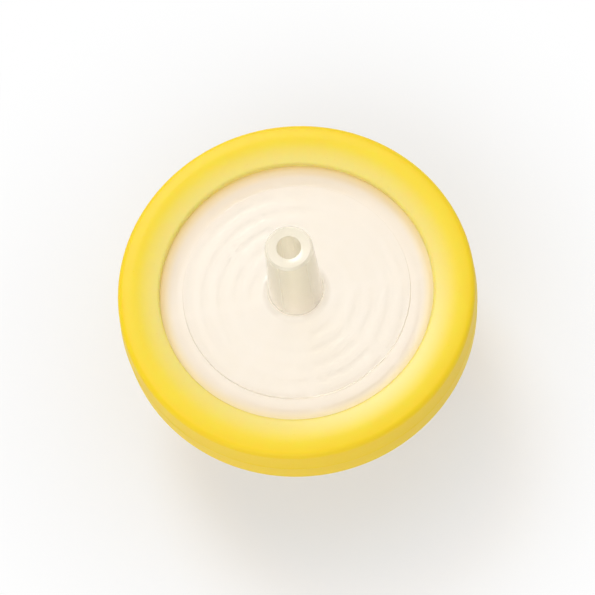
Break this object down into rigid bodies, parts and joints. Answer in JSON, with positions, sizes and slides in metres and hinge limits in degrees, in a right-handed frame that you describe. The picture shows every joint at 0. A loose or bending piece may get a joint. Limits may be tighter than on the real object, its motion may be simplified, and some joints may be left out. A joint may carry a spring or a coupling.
{
  "type": "syringe filter",
  "caption": "Disposable disc filter: female luer lock inlet, male luer slip outlet, and a white membrane clamped in a translucent housing that a yellow moulded ring holds together.",
  "frame": {"origin": "centre of the inlet's mouth face, the lowest plane of the part as it stands on its inlet end", "axes": "+Z along the flow, from the inlet's mouth to the outlet's tip; the two locking lugs lie along X"},
  "size_m": [0.03, 0.03, 0.024],
  "materials": {
    "translucent_pp": "natural unpigmented polypropylene, translucent with a faint warm haze and a smooth moulded gloss",
    "yellow_pp": "bright yellow polypropylene, smooth moulded satin gloss that turns amber in the shade",
    "nylon_membrane": "white microporous nylon sheet, matt with a very fine tooth"
  },
  "bodies": {
    "root": {"inlet_housing": "translucent_pp", "membrane": "nylon_membrane", "outlet_housing": "translucent_pp", "overmould_ring": "yellow_pp"}
  },
  "joints": []
}
